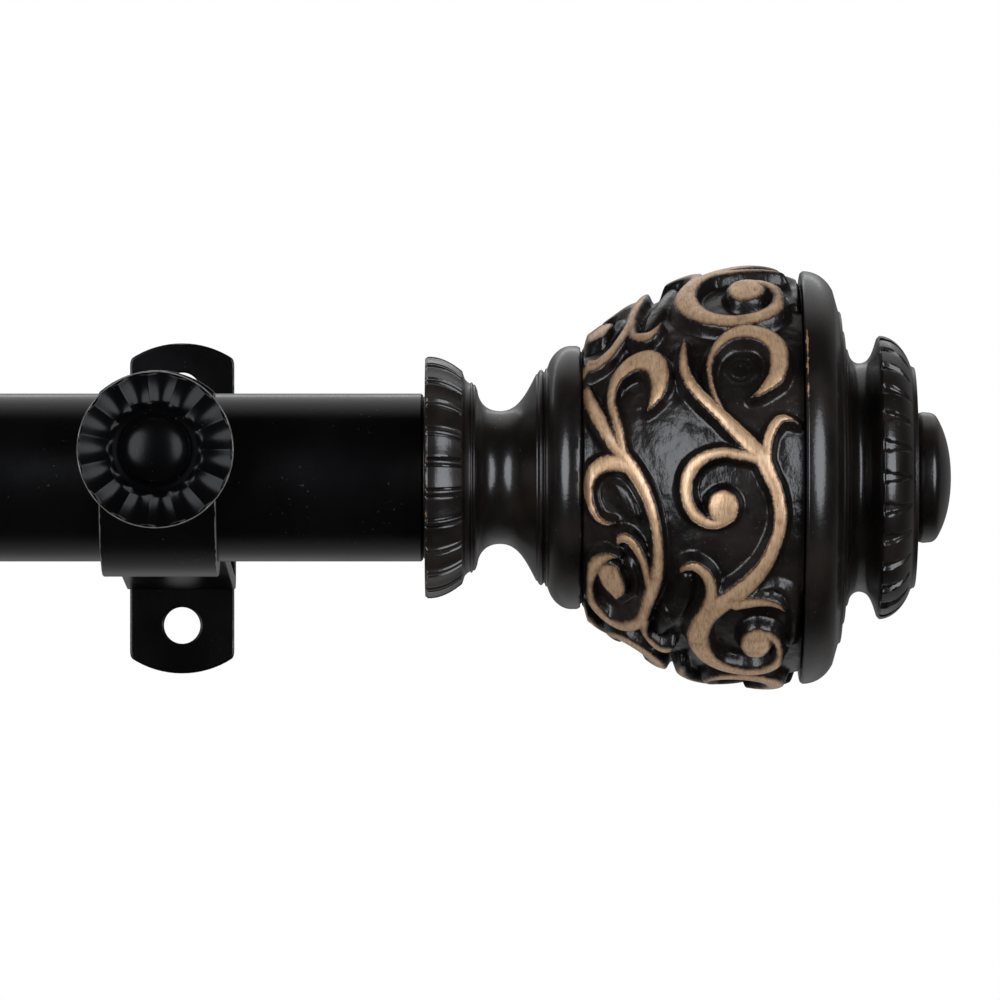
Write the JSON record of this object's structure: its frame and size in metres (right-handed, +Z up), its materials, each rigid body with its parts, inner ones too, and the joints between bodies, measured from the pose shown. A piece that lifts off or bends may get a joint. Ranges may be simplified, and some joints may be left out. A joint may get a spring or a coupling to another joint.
{
  "type": "curtain rod",
  "caption": "Telescoping round curtain rod on two strip-steel wall brackets with clamping knobs, and a carved urn-shaped finial at each end.",
  "frame": {"origin": "on the wall plane, level with the rod's axis and midway between the two brackets with the rod closed up", "axes": "+X along the rod towards the end that does not extend, +Y into the wall, +Z up"},
  "size_m": [0.87, 0.1209, 0.0638],
  "materials": {
    "rod_black": "semi-gloss black powder coat on steel tube",
    "bracket_black": "semi-gloss black enamel on steel strip, thin worn edges",
    "knob_black": "gloss black enamel",
    "finial_black": "cast resin in gloss black lacquer with a few gold rub-through specks",
    "bowl_black_gold": "cast resin in black lacquer, the scroll tops wiped with antique gold",
    "nylon_black": "moulded nylon",
    "insert_brass": "machined",
    "stud_zinc": "zinc plated, rolled thread"
  },
  "bodies": {
    "right_bracket": {"right_wall_plate": "bracket_black", "right_bracket_arm": "bracket_black", "right_lower_rivet": "bracket_black", "right_upper_rivet": "bracket_black", "right_clinch_nut": "bracket_black"},
    "left_bracket": {"left_wall_plate": "bracket_black", "left_bracket_arm": "bracket_black", "left_lower_rivet": "bracket_black", "left_upper_rivet": "bracket_black", "left_clinch_nut": "bracket_black"},
    "rod_outer": {"outer_tube": "rod_black", "outer_tube_liner": "nylon_black", "outer_tube_plug": "nylon_black", "outer_tube_insert": "insert_brass"},
    "rod_inner": {"inner_tube": "rod_black", "inner_tube_glide": "nylon_black", "inner_tube_plug": "nylon_black", "inner_tube_insert": "insert_brass"},
    "right_knob_tip": {"right_knob_pad": "nylon_black"},
    "right_knob": {"right_rosette": "knob_black", "right_knob_screw": "knob_black"},
    "left_knob_tip": {"left_knob_pad": "nylon_black"},
    "left_knob": {"left_rosette": "knob_black", "left_knob_screw": "knob_black"},
    "right_finial_thread": {"right_finial_stud": "stud_zinc"},
    "right_finial": {"right_finial_neck": "finial_black", "right_finial_bowl": "bowl_black_gold", "right_finial_cap": "finial_black", "right_finial_button": "finial_black"},
    "left_finial_thread": {"left_finial_stud": "stud_zinc"},
    "left_finial": {"left_finial_neck": "finial_black", "left_finial_bowl": "bowl_black_gold", "left_finial_cap": "finial_black", "left_finial_button": "finial_black"}
  },
  "joints": [
    {"name": "rod_lift", "type": "slide", "parent": "right_bracket", "child": "rod_outer", "axis": [0, 0, 1], "range_m": [0, 0.04]},
    {"name": "rod_extension", "type": "slide", "parent": "rod_outer", "child": "rod_inner", "axis": [-1, 0, 0], "range_m": [0, 0.508]},
    {"name": "left_bracket_spacing", "type": "slide", "parent": "right_bracket", "child": "left_bracket", "axis": [-1, 0, 0], "range_m": [0, 0.508]},
    {"name": "right_knob_travel", "type": "slide", "parent": "right_bracket", "child": "right_knob_tip", "axis": [0, -1, 0], "range_m": [-0.00036, 0.00241]},
    {"name": "right_knob_turn", "type": "hinge", "parent": "right_knob_tip", "child": "right_knob", "pos_m": [0.3155, -0.089, 0.0041], "axis": [0, -1, 0], "range_deg": [-160, 1080]},
    {"name": "left_knob_travel", "type": "slide", "parent": "left_bracket", "child": "left_knob_tip", "axis": [0, -1, 0], "range_m": [-0.00036, 0.00241]},
    {"name": "left_knob_turn", "type": "hinge", "parent": "left_knob_tip", "child": "left_knob", "pos_m": [-0.3155, -0.089, 0.0041], "axis": [0, -1, 0], "range_deg": [-160, 1080]},
    {"name": "right_finial_travel", "type": "slide", "parent": "rod_outer", "child": "right_finial_thread", "axis": [1, 0, 0], "range_m": [0, 0.01201]},
    {"name": "right_finial_turn", "type": "hinge", "parent": "right_finial_thread", "child": "right_finial", "pos_m": [0.3555, -0.089, 0], "axis": [1, 0, 0], "range_deg": [0, 4320]},
    {"name": "left_finial_travel", "type": "slide", "parent": "rod_inner", "child": "left_finial_thread", "axis": [-1, 0, 0], "range_m": [0, 0.01201]},
    {"name": "left_finial_turn", "type": "hinge", "parent": "left_finial_thread", "child": "left_finial", "pos_m": [-0.3555, -0.089, 0], "axis": [-1, 0, 0], "range_deg": [0, 4320]}
  ],
  "couplings": [
    {"joint": "left_bracket_spacing", "follows": "rod_extension", "ratio": 1},
    {"joint": "right_knob_travel", "follows": "right_knob_turn", "m_per_rad": 0.00012732},
    {"joint": "left_knob_travel", "follows": "left_knob_turn", "m_per_rad": 0.00012732},
    {"joint": "right_finial_travel", "follows": "right_finial_turn", "m_per_rad": 0.00015915},
    {"joint": "left_finial_travel", "follows": "left_finial_turn", "m_per_rad": 0.00015915}
  ]
}
